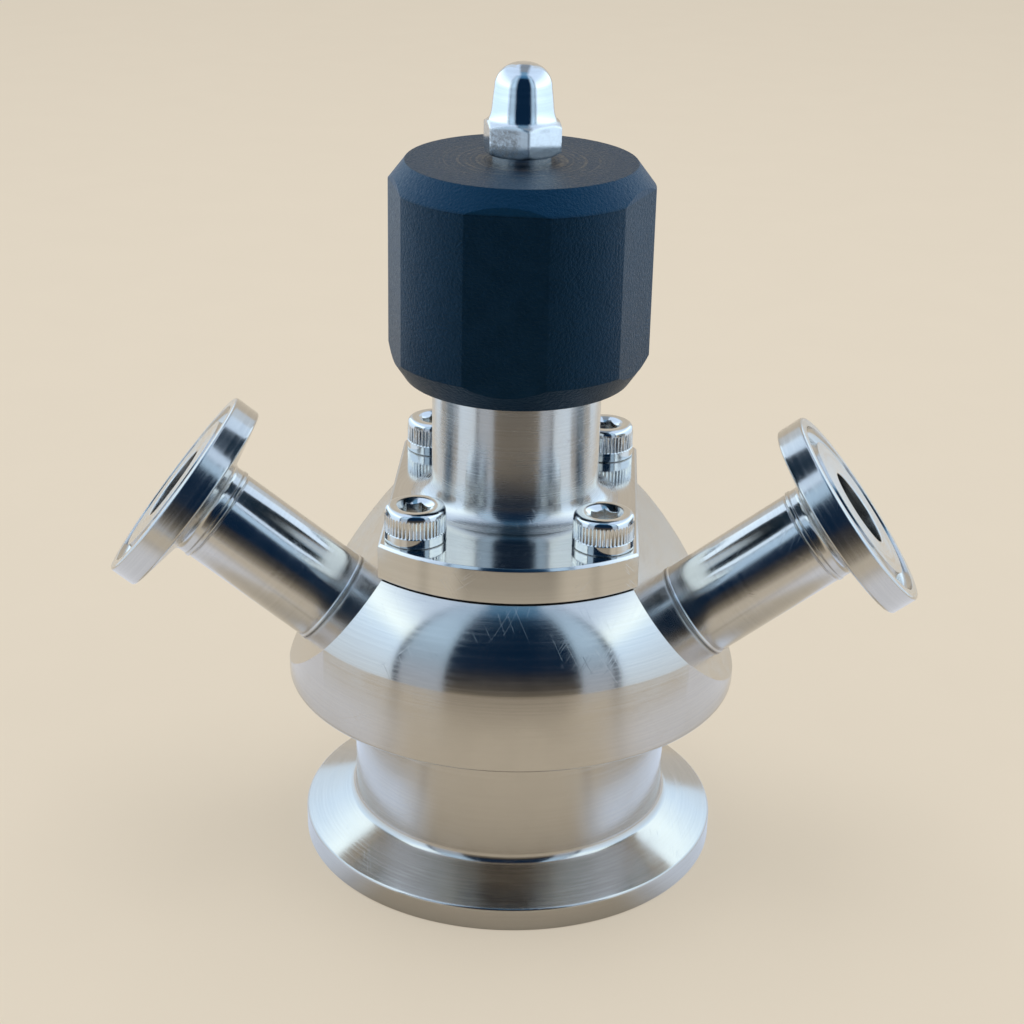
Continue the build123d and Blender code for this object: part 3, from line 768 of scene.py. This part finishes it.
# ================================================================ light tent, floor and camera
PAPER = (0.80, 0.715, 0.585)
ROOM = (0.0045, 0.021, 0.056)
TENT_HALF_WIDTH = 112
TENT_CORNER_Y = -90
OPENING_Y = -112
OPENING_LEFT_X = -56
OPENING_RIGHT_X = 72
SILL_TOP_Z = 56
SEAM_WIDTH = 13
TENT_BACK_Y = 420
TENT_HEIGHT = 420
PAPER_SHARE = 0.55  # how much of the paper's tone the camera sees without shading
PAPER_GLOW = 0.985
AMBIENT = 0.6
HORIZON = (0.64, 0.585, 0.485)  # what the camera sees past the edge of the floor
WALL_TONES = (  # (height, colour) from the floor up
    (0, (0.86, 0.97, 1.08)),
    (40, (0.9, 1.1, 1.32)),
    (85, (1.0, 1.32, 1.7)),
    (115, (1.6, 1.9, 2.0)),
    (160, (1.12, 1.38, 1.68)),
    (200, (0.82, 1.04, 1.34)),
    (420, (0.8, 1.0, 1.3)),
)
FLAP_TONES = (
    (0, (0.56, 0.6, 0.65)),
    (40, (0.5, 0.58, 0.7)),
    (75, (0.46, 0.63, 0.82)),
    (120, (0.62, 0.88, 1.16)),
    (420, (0.5, 0.72, 1.0)),
)
SILL_TONES = ((0, (0.42, 0.37, 0.3)), (10, (0.3, 0.26, 0.2)), (34, (0.06, 0.057, 0.055)), (SILL_TOP_Z, (0.03, 0.034, 0.045)))
REAR_Y = 210
REAR_TONES = ((0, (0.66, 0.64, 0.6)), (130, (0.66, 0.66, 0.64)), (190, (0.74, 0.86, 1.0)), (420, (0.74, 0.86, 1.0)))
BLIND_BOTTOM_Z = 262
BLIND_TONES = ((0, (0.07, 0.2, 0.38)), (420, (0.08, 0.24, 0.46)))
BACK_TONES = ((0, (0.68, 0.61, 0.5)), (420, (0.66, 0.6, 0.52)))
# how the metal sees the paper beside the valve, under the bright walls
NEAR_WASH = (0.8, 0.92, 1.12)
FAR_WASH = (0.82, 0.84, 0.9)


def simple_material(name):
    material = bpy.data.materials.new(name)
    material.use_nodes = True
    tree = material.node_tree
    tree.nodes.clear()
    return material, tree, tree.nodes.new("ShaderNodeOutputMaterial")


def emitter(name, tones):
    """Glowing cloth whose colour changes with height: tones are (height in mm, colour), from the floor up."""
    material, tree, output = simple_material(name)
    split = tree.nodes.new("ShaderNodeSeparateXYZ")
    tree.links.new(tree.nodes.new("ShaderNodeTexCoord").outputs["Object"], split.inputs[0])
    climb = tree.nodes.new("ShaderNodeMath")
    climb.operation = "DIVIDE"
    climb.inputs[1].default_value = TENT_HEIGHT * MM
    tree.links.new(split.outputs["Z"], climb.inputs[0])
    ramp = tree.nodes.new("ShaderNodeValToRGB")
    stops = ramp.color_ramp.elements
    while len(stops) < len(tones):
        stops.new(0.5)
    for stop, (height, colour) in zip(stops, tones):
        stop.position = height / TENT_HEIGHT
        stop.color = (*[0.5 * c for c in colour], 1)
    tree.links.new(climb.outputs[0], ramp.inputs[0])
    glow = tree.nodes.new("ShaderNodeEmission")
    glow.inputs["Strength"].default_value = 2.0
    tree.links.new(ramp.outputs["Color"], glow.inputs["Color"])
    tree.links.new(glow.outputs[0], output.inputs["Surface"])
    return material


def card(name, corners, material):
    """A flat tent wall that shows in the metal, but not to the camera."""
    mesh = bpy.data.meshes.new(name)
    mesh.from_pydata([Vector(c) * MM for c in corners], [], [(0, 1, 2, 3)])
    mesh.materials.append(material)
    wall = bpy.data.objects.new(name, mesh)
    bpy.context.collection.objects.link(wall)
    wall.visible_camera = False
    wall.visible_diffuse = False
    wall.visible_shadow = False


def paper_floor():
    """Pale paper with fine fibres, part of whose tone reaches the camera unshaded. Metal sees it with painted light at
    the sides from the bright walls, painted shade in front of the opening and a painted shadow of the tent seam."""
    material, tree, output = simple_material("paper_floor")

    def node(kind, inputs, **settings):
        made = tree.nodes.new(kind)
        for key, value in settings.items():
            setattr(made, key, value)
        for socket, value in inputs.items():
            if isinstance(value, (int, float, tuple)):
                made.inputs[socket].default_value = value
            else:
                tree.links.new(value, made.inputs[socket])
        return made.outputs

    def math(operation, first, second=0.0):
        return node("ShaderNodeMath", {0: first, 1: second}, operation=operation)[0]

    def ease(value, low, high, to_low=0.0, to_high=1.0):
        inputs = {"Value": value, "From Min": low, "From Max": high, "To Min": to_low, "To Max": to_high}
        return node("ShaderNodeMapRange", inputs, interpolation_type="SMOOTHSTEP")["Result"]

    place = tree.nodes.new("ShaderNodeTexCoord").outputs["Object"]
    fibre = node("ShaderNodeTexNoise", {"Vector": place, "Scale": 60.0, "Detail": 4.0})[0]
    plain = {"Factor": fibre, 6: (*[0.985 * c for c in PAPER], 1), 7: (*[1.01 * c for c in PAPER], 1)}
    tone = node("ShaderNodeMix", plain, data_type="RGBA")[2]

    rays = tree.nodes.new("ShaderNodeLightPath").outputs
    x, y, _ = node("ShaderNodeSeparateXYZ", {0: place})
    flat = node("ShaderNodeCombineXYZ", {0: x, 1: y, 2: 0.0})[0]
    far = node("ShaderNodeVectorMath", {0: flat}, operation="LENGTH")["Value"]
    turn = math("DEGREES", math("ARCTAN2", math("ABSOLUTE", x), math("MULTIPLY", y, -1.0)))
    # painted shade for the metal: the paper darkens in front of the opening, and along a thin radial line where the
    # tent seam's shadow falls
    ahead = math("MULTIPLY", ease(turn, 22, 34, 1.0, 0.0), ease(far, 86 * MM, 128 * MM, 0.0, 0.6))
    seam = ease(math("ABSOLUTE", math("SUBTRACT", turn, 49.0)), 0.0, 6.0, 0.16, 0.0)
    dim = math("MULTIPLY", rays["Is Glossy Ray"], math("MAXIMUM", ahead, seam))
    seen = node("ShaderNodeMix", {"Factor": dim, 6: tone, 7: (0.02, 0.017, 0.013, 1)}, data_type="RGBA")[2]
    beside = math("MULTIPLY", ease(turn, 34, 64), ease(turn, 120, 150, 1.0, 0.0))
    near = math("MULTIPLY", ease(far, 12 * MM, 32 * MM), ease(far, 36 * MM, 42 * MM, 1.0, 0.0))
    beyond = math("MULTIPLY", ease(far, 54 * MM, 62 * MM), ease(far, 78 * MM, 98 * MM, 1.0, 0.0))
    washed = math("MULTIPLY", rays["Is Glossy Ray"], math("MULTIPLY", beside, math("MAXIMUM", near, beyond)))
    wash_tone = node("ShaderNodeMix", {"Factor": beyond, 6: (*NEAR_WASH, 1), 7: (*FAR_WASH, 1)}, data_type="RGBA")[2]
    outside = math("MULTIPLY", rays["Is Glossy Ray"], ease(y, (OPENING_Y - 6) * MM, (OPENING_Y - 2) * MM, 1.0, 0.0))

    matt = node("ShaderNodeBsdfDiffuse", {"Color": seen})[0]
    even = node("ShaderNodeEmission", {"Color": tone, "Strength": PAPER_GLOW})[0]
    wash = node("ShaderNodeEmission", {"Color": wash_tone})[0]
    share = math("MULTIPLY", rays["Is Camera Ray"], PAPER_SHARE)
    paper = node("ShaderNodeMixShader", {0: share, 1: matt, 2: even})[0]
    inside = node("ShaderNodeMixShader", {0: washed, 1: paper, 2: wash})[0]
    room = node("ShaderNodeEmission", {"Color": (*ROOM, 1)})[0]
    tree.links.new(node("ShaderNodeMixShader", {0: outside, 1: inside, 2: room})[0], output.inputs["Surface"])
    return material


def build_stage():
    bm = bmesh.new()
    bmesh.ops.create_grid(bm, x_segments=1, y_segments=1, size=4)
    floor = make_object("floor", bm)
    floor.data.materials.append(paper_floor())

    w, corner, front, lx, rx = TENT_HALF_WIDTH, TENT_CORNER_Y, OPENING_Y, OPENING_LEFT_X, OPENING_RIGHT_X
    b, h = TENT_BACK_Y, TENT_HEIGHT
    wall = emitter("tent_wall", WALL_TONES)
    flap = emitter("tent_flap", FLAP_TONES)
    sill = emitter("tent_sill", SILL_TONES)
    back = emitter("tent_back", BACK_TONES)
    rear = emitter("tent_rear", REAR_TONES)
    blind = emitter("tent_blind", BLIND_TONES)
    seam = emitter("tent_seam", ((0, (0.1, 0.12, 0.16)), (TENT_HEIGHT, (0.08, 0.15, 0.25))))
    roof = emitter("tent_roof", ((0, (0.3, 0.36, 0.44)), (TENT_HEIGHT, (0.3, 0.36, 0.44))))
    front_roof = emitter("tent_front_roof", ((0, (0.2, 0.4, 0.62)), (TENT_HEIGHT, (0.2, 0.4, 0.62))))
    for side in (-1, 1):
        x, near, edge = side * w, rx if side > 0 else lx, side * (w - SEAM_WIDTH)
        card(f"tent_wall_{side}", [(x, corner, 0), (x, REAR_Y, 0), (x, REAR_Y, h), (x, corner, h)], wall)
        card(f"tent_rear_{side}", [(x, REAR_Y, 0), (x, b, 0), (x, b, h), (x, REAR_Y, h)], rear)
        card(f"tent_flap_{side}", [(near, front, 0), (edge, corner, 0), (edge, corner, h), (near, front, h)], flap)
        card(f"tent_seam_{side}", [(edge, corner, 0), (x, corner, 0), (x, corner, h), (edge, corner, h)], seam)
        card(f"tent_eaves_{side}", [(near, front, h), (x, corner, h), (x, b, h), (near, b, h)], wall)
    card("tent_roof", [(lx, 0, h), (rx, 0, h), (rx, b, h), (lx, b, h)], roof)
    card("tent_front_roof", [(lx, front, h), (rx, front, h), (rx, 0, h), (lx, 0, h)], front_roof)
    card("tent_sill", [(lx, front, 0), (rx, front, 0), (rx, front, SILL_TOP_Z), (lx, front, SILL_TOP_Z)], sill)
    low = BLIND_BOTTOM_Z
    card("tent_blind", [(lx, front, low), (rx, front, low), (rx, front, h), (lx, front, h)], blind)
    card("tent_back", [(-w, b, 0), (w, b, 0), (w, b, h), (-w, b, h)], back)

    world = bpy.data.worlds.new("room")
    bpy.context.scene.world = world
    world.use_nodes = True
    tree = world.node_tree
    background = tree.nodes["Background"]
    rays = tree.nodes.new("ShaderNodeLightPath")
    tone = None
    for ray, colour in (("Is Glossy Ray", ROOM), ("Is Camera Ray", HORIZON)):
        layer = tree.nodes.new("ShaderNodeMix")
        layer.data_type = "RGBA"
        tree.links.new(rays.outputs[ray], layer.inputs["Factor"])
        if tone:
            tree.links.new(tone, layer.inputs[6])
        else:
            layer.inputs[6].default_value = (AMBIENT, AMBIENT, AMBIENT, 1)
        layer.inputs[7].default_value = (*colour, 1)
        tone = layer.outputs[2]
    tree.links.new(tone, background.inputs["Color"])
    background.inputs["Strength"].default_value = 1.0

    lamp_data = bpy.data.lights.new("tent_lamp", "AREA")
    lamp_data.size = 0.45
    lamp_data.energy = 1.35
    lamp = bpy.data.objects.new("tent_lamp", lamp_data)
    lamp.location = (0.0, 0.12, 0.6)
    lamp.visible_camera = False
    lamp.visible_glossy = False
    bpy.context.collection.objects.link(lamp)


def build_camera():
    pitch, yaw, roll = radians(-23.292), radians(-2.173), radians(1.223)
    forward = Vector((sin(yaw) * cos(pitch), cos(yaw) * cos(pitch), sin(pitch)))
    right = forward.cross(Vector((0, 0, 1))).normalized()
    up = right.cross(forward)
    x_axis = right * cos(roll) + up * sin(roll)
    y_axis = up * cos(roll) - right * sin(roll)
    data = bpy.data.cameras.new("camera")
    data.sensor_width = 36
    data.lens = 72.5
    data.clip_start, data.clip_end = 0.01, 20
    camera = bpy.data.objects.new("camera", data)
    turn = Matrix((x_axis, y_axis, -forward)).transposed().to_4x4()
    camera.matrix_world = Matrix.Translation(Vector((8.28, -225.28, 139.04)) * MM) @ turn
    bpy.context.collection.objects.link(camera)
    bpy.context.scene.camera = camera


build_body()
build_port(-1, "left")
build_port(1, "right")
build_bonnet()
build_screws()
build_knob()
build_cap_nut()
build_diaphragm()
dress_inner_nodes()
build_stage()
build_camera()
bpy.context.scene.view_settings.view_transform = "Standard"
